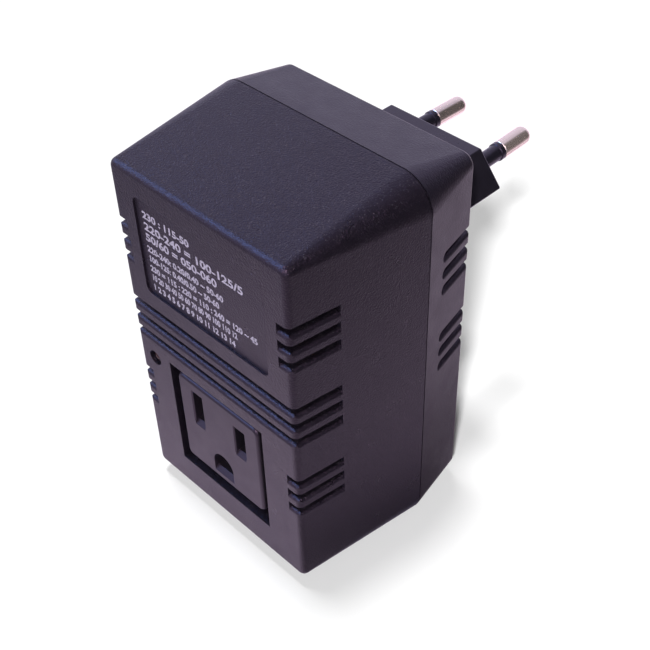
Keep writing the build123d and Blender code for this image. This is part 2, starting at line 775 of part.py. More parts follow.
def make_lamp_wires():
    """Thin wires from the lamp and its resistor to the two contact tags."""
    tag_back = contact_tail_y - 1.0
    near = (-blade_pitch / 2 - brass_sheet / 2, tag_back, blade_z)
    first = wire([(lamp_leg_x(1), 11.0, lamp_z), (lamp_leg_x(1), tag_back - 3.5, lamp_z),
                  (-13.5, tag_back, blade_z), near], [2.2, 1.6], lamp_wire_r)
    start_y = resistor_y + resistor_length + 2.4
    far = (blade_pitch / 2 + brass_sheet / 2, tag_back, blade_z)
    second = wire([(lamp_leg_x(-1), start_y, lamp_z), (lamp_leg_x(-1), 27.0, lamp_z), (-13.0, 29.0, 25.0),
                   (12.5, 27.5, 25.0), (12.5, tag_back, blade_z), far], [2.0, 2.5, 2.5, 1.5], lamp_wire_r)
    return group([first, second])


def make_insulation_card():
    """Card between the socket and the transformer."""
    top = core_bottom_z - frame_sheet - touch
    return slab(-20.5, 20.5, 7.2, 31.0, top - 0.3, top)


# Every node and its solid
def build_nodes():
    return {
        "front_shell": make_front_shell(),
        "rear_cover": make_rear_cover(),
        "case_screws": make_case_screws(),
        "socket_insert": make_socket_insert(),
        "neutral_contact": blade_contact(-1),
        "line_contact": blade_contact(1),
        "earth_contact": make_earth_contact(),
        "contact_retainer": make_contact_retainer(),
        "retainer_screws": make_retainer_screws(),
        "socket_screws": make_socket_screws(),
        "pilot_lamp": make_pilot_lamp(),
        "lamp_leads": make_lamp_leads(),
        "lamp_resistor": make_lamp_resistor(),
        "lamp_wires": make_lamp_wires(),
        "plug_block": make_plug_block(),
        "left_pin": make_plug_pin(-1),
        "right_pin": make_plug_pin(1),
        "left_pin_sleeve": make_pin_sleeve(-1),
        "right_pin_sleeve": make_pin_sleeve(1),
        "core_e_plates": make_core_e_plates(),
        "core_i_plates": make_core_i_plates(),
        "transformer_frame": make_transformer_frame(),
        "winding_former": make_winding_former(),
        "common_winding": coil_layer(0, common_build),
        "layer_tape": coil_layer(common_build, layer_tape),
        "series_winding": coil_layer(common_build + layer_tape, series_build),
        "cover_tape": coil_layer(common_build + layer_tape + series_build, cover_tape),
        "winding_terminals": make_terminals(),
        "insulation_card": make_insulation_card(),
        "thermal_fuse": make_thermal_fuse(),
        "common_wire": make_common_wire(),
        "fused_wire": make_fused_wire(),
        "neutral_wire": output_wire(1, -1),
        "line_wire": output_wire(2, 1),
    }


def write_nodes():
    os.makedirs("parts", exist_ok=True)
    for name, solid in build_nodes().items():
        placed = Location((0, -overall_depth / 2, 0)) * solid
        placed.label = name
        export_step(placed, f"parts/{name}.step")
        print(name, "written")


write_nodes()
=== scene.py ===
import math
import bmesh
import bpy
from mathutils import Matrix, Vector


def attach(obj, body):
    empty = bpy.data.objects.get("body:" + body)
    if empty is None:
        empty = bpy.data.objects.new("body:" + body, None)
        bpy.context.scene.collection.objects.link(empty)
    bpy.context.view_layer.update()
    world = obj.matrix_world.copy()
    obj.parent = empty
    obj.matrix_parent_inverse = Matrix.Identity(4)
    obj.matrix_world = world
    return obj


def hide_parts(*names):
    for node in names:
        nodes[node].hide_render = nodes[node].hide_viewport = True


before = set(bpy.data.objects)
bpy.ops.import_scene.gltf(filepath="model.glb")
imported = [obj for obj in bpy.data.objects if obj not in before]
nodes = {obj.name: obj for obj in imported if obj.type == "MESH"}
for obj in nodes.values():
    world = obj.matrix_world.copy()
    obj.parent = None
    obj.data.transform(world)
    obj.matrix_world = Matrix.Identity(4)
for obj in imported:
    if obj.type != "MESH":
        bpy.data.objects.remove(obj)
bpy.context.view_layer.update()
scene = bpy.context.scene
mm = 0.001
socketFaceY = -41.15  # depth of the socket face, mm
print("frame loaded:", len(nodes), "nodes")


# nodes and their sockets
socketKinds = {float: "NodeSocketFloat", int: "NodeSocketInt", bool: "NodeSocketBool",
               tuple: "NodeSocketVector", type(None): "NodeSocketGeometry"}


def newTree(kind, name, inputs, *outputs, outKind="NodeSocketFloat"):
    # a node group: inputs by label and start value, outputs by label
    tree = bpy.data.node_groups.new(name, kind)
    for label, value in inputs.items():
        label = label.replace("_", " ")
        socket = tree.interface.new_socket(label, in_out="INPUT", socket_type=socketKinds[type(value)])
        if value is not None:
            socket.default_value = value
    for label in outputs:
        tree.interface.new_socket(label, in_out="OUTPUT", socket_type=outKind)
    return tree, tree.nodes.new("NodeGroupInput").outputs, tree.nodes.new("NodeGroupOutput")


def addNode(tree, kind, **settings):
    node = tree.nodes.new(kind)
    for key, value in settings.items():
        setattr(node, key, value)
    return node


def plug(tree, value, socket):
    # a link from another socket, several links from a list, or a fixed value
    if isinstance(value, list):
        for part in value:
            tree.links.new(part, socket)
    elif isinstance(value, bpy.types.NodeSocket):
        tree.links.new(value, socket)
    elif value is not None:
        socket.default_value = value


def plugAll(tree, node, *values):
    for slot, value in enumerate(values):
        plug(tree, value, node.inputs[slot])
    return node.outputs


def feed(tree, node, **values):
    for label, value in values.items():
        plug(tree, value, node.inputs[label.replace("_", " ")])
    return node.outputs


def mathNode(tree, operation, *values, clamp=False):
    return plugAll(tree, addNode(tree, "ShaderNodeMath", operation=operation, use_clamp=clamp), *values)[0]


def times(tree, first, second, clamp=False):
    return mathNode(tree, "MULTIPLY", first, second, clamp=clamp)


def vectorNode(tree, operation, *values):
    return plugAll(tree, addNode(tree, "ShaderNodeVectorMath", operation=operation), *values)["Value"]


def splitNode(tree, vector):
    return plugAll(tree, addNode(tree, "ShaderNodeSeparateXYZ"), vector)


def noiseNode(tree, vector, scale, detail=2.0, rough=0.5):
    node = addNode(tree, "ShaderNodeTexNoise")
    return feed(tree, node, Vector=vector, Scale=scale, Detail=detail, Roughness=rough)[0]


def rangeNode(tree, value, low, high, toLow=0.0, toHigh=1.0):
    node = addNode(tree, "ShaderNodeMapRange")
    feed(tree, node, Value=value, From_Min=low, From_Max=high, To_Min=toLow, To_Max=toHigh)
    return node.outputs["Result"]


def mixColour(tree, share, first, second, kind="MIX"):
    node = addNode(tree, "ShaderNodeMix", data_type="RGBA", blend_type=kind)
    for slot, value in ((0, share), (6, first), (7, second)):
        plug(tree, value, node.inputs[slot])
    return node.outputs[2]


def rgba(colour, gain=1.0, lift=0.0):
    return tuple(min(1.0, part * gain + lift) for part in colour) + (1,)


# shader groups that several finishes share
grainForm = dict(pits=(2.0, 0.6), mottle=(3.0, 0.55), speckPower=3.0, speckRim=0.50, speckCore=0.22)
edgeForm = dict(radius=0.35, samples=6, flat=0.995, turned=0.86)
brushForm = dict(lines=(3.0, 0.6), cloudScale=0.08)


def makeGrainGroup():
    # spark-eroded moulding skin: fine pits, coarser mottling and a mask of sparse bright specks, which the
    # plastics paint as sparkle glints
    sizes = dict(Vector=(0, 0, 0), Pit_Scale=3400.0, Mottle_Scale=240.0, Speck_Scale=3400.0,
                 Speck_Share=0.50)
    group, given, outer = newTree("ShaderNodeTree", "mouldedGrain", sizes,
                                  "Height", "Speck", "Warmth", "Mottle")
    pits = noiseNode(group, given["Vector"], given["Pit Scale"], *grainForm["pits"])
    mottle = noiseNode(group, given["Vector"], given["Mottle Scale"], *grainForm["mottle"])
    cells = addNode(group, "ShaderNodeTexVoronoi")
    feed(group, cells, Vector=given["Vector"], Scale=given["Speck Scale"])
    drawn = plugAll(group, addNode(group, "ShaderNodeSeparateColor"), cells.outputs["Color"])
    chosen = mathNode(group, "LESS_THAN", drawn[0], given["Speck Share"])
    strength = times(group, chosen, mathNode(group, "POWER", drawn[1], grainForm["speckPower"]))
    dots = rangeNode(group, cells.outputs["Distance"], grainForm["speckRim"], grainForm["speckCore"])
    feed(group, outer, Height=pits, Speck=times(group, dots, strength), Warmth=drawn[2], Mottle=mottle)
    return group


def makeEdgeGroup():
    # 0 on flats, 1 where the surface turns within the given radius
    group, given, outer = newTree("ShaderNodeTree", "edgeMask", {}, "Edge")
    bevel = addNode(group, "ShaderNodeBevel", samples=edgeForm["samples"])
    rounded = feed(group, bevel, Radius=edgeForm["radius"] * mm)[0]
    unrounded = addNode(group, "ShaderNodeNewGeometry").outputs["Normal"]
    agreement = vectorNode(group, "DOT_PRODUCT", rounded, unrounded)
    feed(group, outer, Edge=rangeNode(group, agreement, edgeForm["flat"], edgeForm["turned"]))
    return group


def makeBrushGroup():
    # fine drawn lines and a broad cloud; the finish stretches them along one axis
    group, given, outer = newTree("ShaderNodeTree", "drawnLines", dict(Vector=(0, 0, 0), Scale=1.0),
                                  "Lines", "Cloud")
    lines = noiseNode(group, given["Vector"], given["Scale"], *brushForm["lines"])
    cloud = noiseNode(group, given["Vector"], times(group, given["Scale"], brushForm["cloudScale"]))
    feed(group, outer, Lines=lines, Cloud=cloud)
    return group


grainGroup = makeGrainGroup()
edgeGroup = makeEdgeGroup()
brushGroup = makeBrushGroup()


# finishes
noiseCore = (0.3, 0.7)  # most of a noise lies between these


def startMaterial(name):
    material = bpy.data.materials.new(name)
    material.use_nodes = True
    tree = material.node_tree
    coords = addNode(tree, "ShaderNodeTexCoord").outputs["Object"]
    return material, tree, tree.nodes["Principled BSDF"], coords


def placeGroup(tree, group, **values):
    return feed(tree, addNode(tree, "ShaderNodeGroup", node_tree=group), **values)


def addBump(tree, surface, height, strength, depth):
    bump = feed(tree, addNode(tree, "ShaderNodeBump"), Strength=strength, Distance=depth * mm, Height=height)
    feed(tree, surface, Normal=bump[0])


def stretched(tree, coords, scale):
    return feed(tree, addNode(tree, "ShaderNodeMapping"), Vector=coords, Scale=scale)[0]


# shares of the base colour, the two tints of the specks, which are painted sparkle glints, and how they thin
# out off the top, where the light falls, and the gloss
plasticLook = dict(
    dark=0.85, light=1.15, edgeGain=1.6, edgeLift=0.003, edgeShare=0.25, rubGloss=0.08, roughSpread=0.04,
    coolSpeck=(0.30, 0.28, 0.37), warmSpeck=(0.38, 0.31, 0.33), speckTilt=(0.55, 0.92), speckAside=0.35,
    bump=0.8,
    # the violet specular tint paints the light's violet cast into the reflections; the sheen tint paints a
    # violet-blue rim
    gloss=dict(IOR=1.5, Specular_IOR_Level=0.6, Specular_Tint=(0.92, 0.71, 1.0, 1), Sheen_Roughness=0.3,
               Sheen_Tint=(0.28, 0.28, 0.95, 1)))


def mouldedPlastic(name, colour, rough, pitScale, pitDepth, specks, sheen):
    look = plasticLook
    material, tree, surface, coords = startMaterial(name)
    grain = placeGroup(tree, grainGroup, Vector=coords, Pit_Scale=pitScale)
    edge = placeGroup(tree, edgeGroup)["Edge"]
    base = mixColour(tree, grain["Mottle"], rgba(colour, look["dark"]), rgba(colour, look["light"]))
    # lighter edges: partly rubbed wear, partly a painted highlight along the arrises
    edgeTone = rgba(colour, look["edgeGain"], look["edgeLift"])
    base = mixColour(tree, times(tree, edge, look["edgeShare"]), base, edgeTone)
    # painted sparkle glints: the specks show mostly on faces turned up, where the light falls
    up = splitNode(tree, addNode(tree, "ShaderNodeNewGeometry").outputs["Normal"])["Z"]
    facingUp = rangeNode(tree, up, *look["speckTilt"], look["speckAside"])
    speckle = times(tree, grain["Speck"], times(tree, facingUp, specks))
    speckColour = mixColour(tree, grain["Warmth"], rgba(look["coolSpeck"]), rgba(look["warmSpeck"]))
    base = mixColour(tree, speckle, base, speckColour)
    spread = look["roughSpread"]
    roughness = rangeNode(tree, grain["Mottle"], *noiseCore, rough - spread, rough + spread)
    roughness = mathNode(tree, "SUBTRACT", roughness, times(tree, edge, look["rubGloss"]))
    feed(tree, surface, Base_Color=base, Roughness=roughness, Sheen_Weight=sheen, **look["gloss"])
    addBump(tree, surface, grain["Height"], look["bump"], pitDepth)
    return material


metalLook = dict(lineScale=900.0, brightGain=1.15, brightLift=0.03, edgeShare=0.5, smoother=0.06,
                 rougher=0.08, clouded=0.1, bump=0.35)


def platedMetal(name, colour, rough, stretch, depth, tarnish=0.25, clear=1.0):
    look = metalLook
    material, tree, surface, coords = startMaterial(name)
    lines = placeGroup(tree, brushGroup, Vector=stretched(tree, coords, stretch), Scale=look["lineScale"])
    edge = placeGroup(tree, edgeGroup)["Edge"]
    base = mixColour(tree, lines["Cloud"], rgba(colour, 1 - tarnish), rgba(colour))
    bright = rgba(colour, look["brightGain"], look["brightLift"])
    base = mixColour(tree, times(tree, edge, look["edgeShare"]), base, bright)
    span = (rough - look["smoother"], rough + look["rougher"])
    roughness = rangeNode(tree, lines["Lines"], *noiseCore, *span)
    metallic = rangeNode(tree, lines["Cloud"], *noiseCore, clear - look["clouded"], clear)
    feed(tree, surface, Base_Color=base, Roughness=roughness, Metallic=metallic)
    addBump(tree, surface, lines["Lines"], look["bump"], depth)
    return material


skinLook = dict(low=0.85, high=1.1, dustScale=5, dustDetail=1.0, dustCore=(0.35, 0.65), smoother=0.05,
                rougher=0.08, coatRough=0.15, bump=0.3, depth=0.03)


def glossySkin(name, colour, rough, coat, wave=700.0):
    # insulation, lacquer and tape: smooth with slight waviness and dust
    look = skinLook
    material, tree, surface, coords = startMaterial(name)
    wavy = noiseNode(tree, coords, wave)
    dust = noiseNode(tree, coords, wave * look["dustScale"], look["dustDetail"])
    base = mixColour(tree, wavy, rgba(colour, look["low"]), rgba(colour, look["high"]))
    span = (rough - look["smoother"], rough + look["rougher"])
    feed(tree, surface, Base_Color=base, Roughness=rangeNode(tree, dust, *look["dustCore"], *span),
         Coat_Weight=coat, Coat_Roughness=look["coatRough"])
    addBump(tree, surface, wavy, look["bump"], look["depth"])
    return material


cardLook = dict(stretch=(0.35, 1, 1), fibres=(2600.0, 4.0, 0.7), low=0.75, high=1.15, rough=0.85, bump=0.5,
                depth=0.02)


def fibreCard(name, colour):
    look = cardLook
    material, tree, surface, coords = startMaterial(name)
    fibres = noiseNode(tree, stretched(tree, coords, look["stretch"]), *look["fibres"])
    base = mixColour(tree, fibres, rgba(colour, look["low"]), rgba(colour, look["high"]))
    feed(tree, surface, Base_Color=base, Roughness=look["rough"])
    addBump(tree, surface, fibres, look["bump"], look["depth"])
    return material


cloudyLook = dict(cloud=(160.0, 3.0, 0.6), skinScale=2600.0, low=0.9, high=1.05, spread=0.06, bump=0.3,
                  depth=0.015, inside=dict(Subsurface_Weight=0.15, Subsurface_Scale=0.5 * mm))


def cloudyMoulding(name, colour, rough):
    # unpigmented nylon and fuse body: cloudy, slightly translucent looking
    look = cloudyLook
    material, tree, surface, coords = startMaterial(name)
    cloud = noiseNode(tree, coords, *look["cloud"])
    skin = noiseNode(tree, coords, look["skinScale"])
    base = mixColour(tree, cloud, rgba(colour, look["low"]), rgba(colour, look["high"]))
    roughness = rangeNode(tree, skin, *noiseCore, rough - look["spread"], rough + look["spread"])
    feed(tree, surface, Base_Color=base, Roughness=roughness, **look["inside"])
    addBump(tree, surface, skin, look["bump"], look["depth"])
    return material


# colour and roughness of each finish, then:
# scale of the pits, their depth in mm, strength of the specks (painted sparkle glints), sheen (a painted
# violet-blue rim along the silhouettes)
plastics = {
    "caseBlack": ((0.0055, 0.0042, 0.0065), 0.31, 3000.0, 0.19, 0.21, 0.03),
    "rearBlack": ((0.0050, 0.0036, 0.0064), 0.37, 3000.0, 0.09, 0.08, 0.0),
    "socketBlack": ((0.0090, 0.0070, 0.0095), 0.38, 4200.0, 0.02, 0.02, 0.05),
    # the plug block's black is painted lighter than the case's, for the light its top catches
    "plugBlack": ((0.0100, 0.0085, 0.0125), 0.30, 3400.0, 0.03, 0.02, 0.10),
    "sleeveBlack": ((0.0090, 0.0080, 0.0120), 0.30, 4200.0, 0.01, 0.02, 0.10),
}
# stretch of the drawn lines, their depth in mm, and for the pins how tarnished and how metallic
metals = {
    "zincPlate": ((0.60, 0.61, 0.62), 0.32, (1, 1, 1), 0.01),
    "contactBrass": ((0.66, 0.48, 0.17), 0.28, (1, 0.1, 1), 0.01),
    "pinNickel": ((0.95, 0.77, 0.70), 0.22, (1, 0.06, 1), 0.008, 0.12, 0.94),
    "tinnedWire": ((0.66, 0.66, 0.64), 0.30, (1, 1, 0.2), 0.008),
    "siliconSteel": ((0.27, 0.28, 0.30), 0.45, (0.2, 1, 0.2), 0.01),
    "enamelCopper": ((0.55, 0.17, 0.05), 0.30, (0.2, 0.2, 1), 0.01),
}
# weight of the coat, and for the tape the scale of its waves
skins = {
    "resistorTan": ((0.60, 0.44, 0.25), 0.35, 0.5),
    "wireWhite": ((0.76, 0.75, 0.71), 0.35, 0.2),
    "wireBlack": ((0.012, 0.012, 0.013), 0.35, 0.2),
    "wireRed": ((0.38, 0.020, 0.014), 0.35, 0.2),
    "tapeYellow": ((0.62, 0.42, 0.030), 0.25, 0.6, 400.0),
}
cards = {"cardGrey": ((0.16, 0.14, 0.12),)}
cloudy = {"nylonWhite": ((0.70, 0.66, 0.56), 0.5), "fuseBody": ((0.48, 0.45, 0.39), 0.45)}

finishes = {}
for makeFinish, looks in ((mouldedPlastic, plastics), (platedMetal, metals), (glossySkin, skins),
                          (fibreCard, cards), (cloudyMoulding, cloudy)):
    for finishName, values in looks.items():
        finishes[finishName] = makeFinish(finishName, *values)
print("finishes made:", len(finishes))


# pieces that keep the shape of their node and only get a finish
nodeFinish = {
    "neutral_contact": "contactBrass", "line_contact": "contactBrass", "earth_contact": "contactBrass",
    "contact_retainer": "socketBlack", "lamp_leads": "tinnedWire", "lamp_resistor": "resistorTan",
    "lamp_wires": "wireWhite", "transformer_frame": "zincPlate", "winding_former": "nylonWhite",
    "layer_tape": "tapeYellow", "cover_tape": "tapeYellow", "insulation_card": "cardGrey",
    "thermal_fuse": "fuseBody", "common_wire": "wireBlack", "fused_wire": "wireRed",
    "neutral_wire": "wireWhite", "line_wire": "wireRed",
}


def paintNode(nodeName, finish):
    body = nodes[nodeName]
    if not body.material_slots:
        body.data.materials.append(None)
    for place in body.material_slots:
        place.link = "OBJECT"
        place.material = finishes[finish]


for nodeName, finish in nodeFinish.items():
    paintNode(nodeName, finish)


# how a new piece comes into the scene
def addPiece(name, mesh, finish, slotName, *standsFor):
    piece = bpy.data.objects.new(name, mesh)
    scene.collection.objects.link(piece)
    mesh.materials.clear()
    mesh.materials.append(finish)
    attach(piece, "root")
    if standsFor:
        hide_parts(*standsFor)
    return piece


def toMesh(shape, name):
    mesh = bpy.data.meshes.new(name)
    shape.to_mesh(mesh)
    shape.free()
    return mesh


def skinRings(shape, rings, closed=False):
    # quads between neighbouring rings of points, triangles where a ring is a single point
    pairs = list(zip(rings, rings[1:]))
    if closed:
        pairs.append((rings[-1], rings[0]))
    for lower, upper in pairs:
        count = max(len(lower), len(upper))
        for step in range(count):
            after = (step + 1) % count
            low = (lower[step % len(lower)], lower[after % len(lower)])
            high = (upper[after % len(upper)], upper[step % len(upper)])
            shape.faces.new(list(dict.fromkeys(low + high)))


# mouldings: the node's own skin with softened arrises
skinRules = dict(weld=0.002, flat=0.6, crease=26, arris=28)  # mm, then degrees
# heights that hold louvre ribs, how far back their front edges lie and how level they are, mm
ribRound = dict(bands=((63.4, 73.0), (44.2, 53.8), (24.6, 34.2)), depth=0.4, level=0.3)
# rating plate recess: depth of its floor in the solid and as drawn, and where it lies, mm
plateRecess = dict(solidY=0.8, drawnY=0.42, halfWidth=17.6, low=57.0, high=79.9, near=0.05)
# arris: width of the softening in mm; share: how much of it edges other than the ribs get
mouldings = {
    "frontShell": dict(node="front_shell", finish="caseBlack", slot="black_abs", arris=0.34, share=0.47),
    "rearCover": dict(node="rear_cover", finish="rearBlack", slot="black_abs", arris=0.24, share=1.0),
    "plugBlock": dict(node="plug_block", finish="plugBlack", slot="black_abs", arris=0.50, share=1.0),
    "socketInsert": dict(node="socket_insert", finish="socketBlack", slot="dark_nylon", arris=0.12,
                         share=1.0),
}


def mergedCopy(nodeName, name):
    # one closed skin from the node's loose triangles, flats joined up again
    mesh = nodes[nodeName].data.copy()
    mesh.name = name
    shape = bmesh.new()
    shape.from_mesh(mesh)
    bmesh.ops.remove_doubles(shape, verts=shape.verts, dist=skinRules["weld"] * mm)
    bmesh.ops.dissolve_limit(shape, verts=shape.verts, edges=shape.edges, use_dissolve_boundaries=False,
                             angle_limit=math.radians(skinRules["flat"]))
    for face in shape.faces:
        face.smooth = True
    shape.to_mesh(mesh)
    shape.free()
    mesh.set_sharp_from_angle(angle=math.radians(skinRules["crease"]))
    return mesh


def raisePlate(mesh):
    # the print lies on a floor a little nearer to the face than the solid's, as the shading shows
    for vertex in mesh.vertices:
        spot = vertex.co / mm
        inside = abs(spot.x) < plateRecess["halfWidth"] and plateRecess["low"] < spot.z < plateRecess["high"]
        if inside and abs(spot.y - socketFaceY - plateRecess["solidY"]) < plateRecess["near"]:
            vertex.co.y = (socketFaceY + plateRecess["drawnY"]) * mm


def isRibEdge(edge):
    middle = (edge.verts[0].co + edge.verts[1].co) / 2 / mm
    inBand = any(low < middle.z < high for low, high in ribRound["bands"])
    level = abs(edge.verts[0].co.z - edge.verts[1].co.z) < ribRound["level"] * mm
    return inBand and level and middle.y - socketFaceY < ribRound["depth"]


def weighEdges(mesh, share):
    # full round on the louvre ribs, a share of it on every other arris
    shape = bmesh.new()
    shape.from_mesh(mesh)
    weight = shape.edges.layers.float.new("bevel_weight_edge")
    for edge in shape.edges:
        if len(edge.link_faces) == 2 and edge.calc_face_angle() >= math.radians(skinRules["arris"]):
            edge[weight] = 1.0 if isRibEdge(edge) else share
    shape.to_mesh(mesh)
    shape.free()


def softenEdges(piece, width, share):
    # arrises of a moulding are never sharp: a small round on each
    weighEdges(piece.data, share)
    bevel = piece.modifiers.new("arrises", "BEVEL")
    bevel.width = width * mm
    bevel.segments = 3
    bevel.limit_method = "WEIGHT"
    bevel.use_clamp_overlap = True
    bevel.miter_outer = "MITER_ARC"
    even = piece.modifiers.new("evenShading", "WEIGHTED_NORMAL")  # keeps the big flats flat
    even.keep_sharp = True


for pieceName, moulding in mouldings.items():
    mesh = mergedCopy(moulding["node"], pieceName)
    if pieceName == "frontShell":
        raisePlate(mesh)
    piece = addPiece(pieceName, mesh, finishes[moulding["finish"]], moulding["slot"], moulding["node"])
    softenEdges(piece, moulding["arris"], moulding["share"])
print("mouldings made:", len(mouldings))


# turned pieces: profile of (along, radius) in mm, swung round an axis
def turnedMesh(name, profile, start, direction, steps=72, closedRing=False, crease=30):
    turn = Vector((0, 0, 1)).rotation_difference(Vector(direction)).to_matrix().to_4x4()
    place = Matrix.Translation(Vector(start) * mm) @ turn
    shape = bmesh.new()
    rings = []
    for along, radius in profile:
        ring = []
        for step in range(steps if radius else 1):
            angle = 2 * math.pi * step / steps
            spot = Vector((radius * math.cos(angle), radius * math.sin(angle), along)) * mm
            ring.append(shape.verts.new(place @ spot))
        rings.append(ring)
    skinRings(shape, rings, closedRing)
    bmesh.ops.recalc_face_normals(shape, faces=shape.faces)
    for face in shape.faces:
        face.smooth = True
    mesh = toMesh(shape, name)
    mesh.set_sharp_from_angle(angle=math.radians(crease))
    return mesh


def roundedEnd(length, radius, round_, steps=8):
    # points of a fillet from the side wall over to the flat end
    points = []
    for step in range(steps + 1):
        angle = math.pi / 2 * step / steps
        points.append((length - round_ * (1 - math.sin(angle)), radius - round_ * (1 - math.cos(angle))))
    return points


# lean: how a pin points inwards and backwards; tang: end and radius; flange: from, to and radius;
# rings: where the bare metal has rings of points; edge: chamfer where metal and sleeve meet
plugPins = dict(rootX=9.3, rootY=22.15, z=65.85, lean=(0.028935, 0.999581), length=19.0, metalR=2.0,
                tipRound=1.6, tang=(-8.9, 1.1), flange=(-4.7, -3.75, 2.55), neckFrom=-3.7, neckR=1.3,
                play=0.02, rings=(11.5, 14.0, 16.0), edge=0.12, sleeveR=1.75, sleeveLength=10.0,
                collarLength=1.2, collarSlope=0.1, sleeveRoot=1.5)


def makePins():
    pin = plugPins
    inwards, backwards = pin["lean"]
    tangEnd, tangR = pin["tang"]
    flangeFrom, flangeTo, flangeR = pin["flange"]
    neck = pin["neckR"] - pin["play"]
    joint, slope = pin["sleeveLength"], pin["collarSlope"]
    collar, collarR = joint - pin["collarLength"], pin["metalR"] - pin["play"]
    metal = [(tangEnd, 0), (tangEnd, tangR), (flangeFrom, tangR), (flangeFrom, flangeR),
             (flangeTo, flangeR), (pin["neckFrom"], neck), (joint, neck),
             (joint, pin["metalR"] - pin["edge"]), (joint + pin["edge"], pin["metalR"])]
    metal += [(along, pin["metalR"]) for along in pin["rings"]]
    metal += roundedEnd(pin["length"], pin["metalR"], pin["tipRound"]) + [(pin["length"], 0)]
    sleeve = [(-pin["sleeveRoot"], pin["neckR"]), (-pin["sleeveRoot"], pin["sleeveR"]),
              (collar - slope, pin["sleeveR"]), (collar, collarR - pin["edge"]),
              (collar + slope, collarR), (joint - slope, collarR),
              (joint, pin["metalR"] - pin["edge"]), (joint, pin["neckR"])]
    for side, label in ((-1, "left"), (1, "right")):
        start = (side * pin["rootX"], pin["rootY"], pin["z"])
        along = (-side * inwards, backwards, 0)
        mesh = turnedMesh(label + "Pin", metal, start, along)
        addPiece(label + "Pin", mesh, finishes["pinNickel"], "pin_nickel", label + "_pin")
        mesh = turnedMesh(label + "PinSleeve", sleeve, start, along, closedRing=True)
        addPiece(label + "PinSleeve", mesh, finishes["sleeveBlack"], "sleeve_plastic", label + "_pin_sleeve")


makePins()
print("pins and sleeves made")


# pilot lamp: lens on a wider rim; the colour deepens between two distances from the lens centre, mm, as
# painted shade towards the edge of the dome
pilotLamp = dict(x=-18.7, z=38.2, topY=0.35, radius=1.6, rimR=1.9, rimY=4.4, backY=5.4, rimEdge=0.1,
                 steps=48, domeSteps=12, colour=(0.085, 0.018, 0.010), deep=(0.020, 0.006, 0.005),
                 centreY=2.0, deepens=(0.9, 1.8), ripple=900.0, rough=(0.10, 0.20), bump=0.2, depth=0.02,
                 gloss=dict(Specular_IOR_Level=0.25, Coat_Weight=0.15, Coat_Roughness=0.04,
                            Subsurface_Weight=0.2, Subsurface_Scale=0.6 * mm))


def lampMaterial():
    lamp = pilotLamp
    material, tree, surface, coords = startMaterial("lampLens")
    centre = Vector((lamp["x"], socketFaceY + lamp["centreY"], lamp["z"])) * mm
    away = vectorNode(tree, "DISTANCE", coords, centre)
    nearest, farthest = (distance * mm for distance in lamp["deepens"])
    # painted shade: the lens darkens towards its edge and stays lighter in the middle
    share = rangeNode(tree, away, nearest, farthest)
    ripple = noiseNode(tree, coords, lamp["ripple"])
    feed(tree, surface, Base_Color=mixColour(tree, share, rgba(lamp["colour"]), rgba(lamp["deep"])),
         Roughness=rangeNode(tree, ripple, *noiseCore, *lamp["rough"]), **lamp["gloss"])
    addBump(tree, surface, ripple, lamp["bump"], lamp["depth"])
    return material


def makeLamp():
    lamp = pilotLamp
    start = (lamp["x"], socketFaceY + lamp["backY"], lamp["z"])
    rim = lamp["backY"] - lamp["rimY"]
    rise = lamp["backY"] - lamp["topY"] - lamp["radius"]
    profile = [(0, 0), (0, lamp["rimR"]), (rim - lamp["rimEdge"], lamp["rimR"]),
               (rim, lamp["rimR"] - lamp["rimEdge"]), (rim, lamp["radius"]), (rise, lamp["radius"])]
    for step in range(1, lamp["domeSteps"]):
        angle = math.pi / 2 * step / lamp["domeSteps"]
        profile.append((rise + lamp["radius"] * math.sin(angle), lamp["radius"] * math.cos(angle)))
    profile.append((rise + lamp["radius"], 0))
    mesh = turnedMesh("pilotLamp", profile, start, (0, -1, 0), steps=lamp["steps"])
    addPiece("pilotLamp", mesh, lampMaterial(), "red_lens", "pilot_lamp")


makeLamp()
print("lamp made")


# rating plate print: plain numbers and signs only
platePrint = dict(
    lift=0.012, left=-15.6, stroke=0.085, sizePerHeight=1.38, curveSteps=3, weld=0.002,
    colour=(0.42, 0.375, 0.51), wornColour=(0.10, 0.09, 0.12), wear=(5200.0, 2.0, 0.7), wearCore=(0.34, 0.5),
    rough=0.6, bump=0.3, depth=0.01,
    # centre height, figure height and length of each row, mm
    rows=[(76.3, 1.60, 13.3, "230 : 115-50"), (73.7, 1.80, 27.4, "220-240 = 100-125/5"),
          (71.2, 1.80, 20.2, "50/60 = 050-060"), (68.4, 1.40, 21.6, "220-240: 0.20/0.40 ~ 50-60"),
          (66.1, 1.40, 20.2, "100-125: 0.40/0.50 ~ 50-60"),
          (63.7, 1.40, 30.2, "230 = 115 : 220 = 110 : 240 = 120 ~ 45"),
          (61.5, 1.40, 24.6, "10 20 30 40 50 60 70 80 90 100 110 12"),
          (59.1, 1.40, 23.8, "1 2 3 4 5 6 7 8 9 10 11 12 13 14")])


def inkMaterial():
    plate = platePrint
    material, tree, surface, coords = startMaterial("plateInk")
    wear = noiseNode(tree, coords, *plate["wear"])
    share = rangeNode(tree, wear, *plate["wearCore"])
    feed(tree, surface, Base_Color=mixColour(tree, share, rgba(plate["wornColour"]), rgba(plate["colour"])),
         Roughness=plate["rough"])
    addBump(tree, surface, wear, plate["bump"], plate["depth"])
    return material


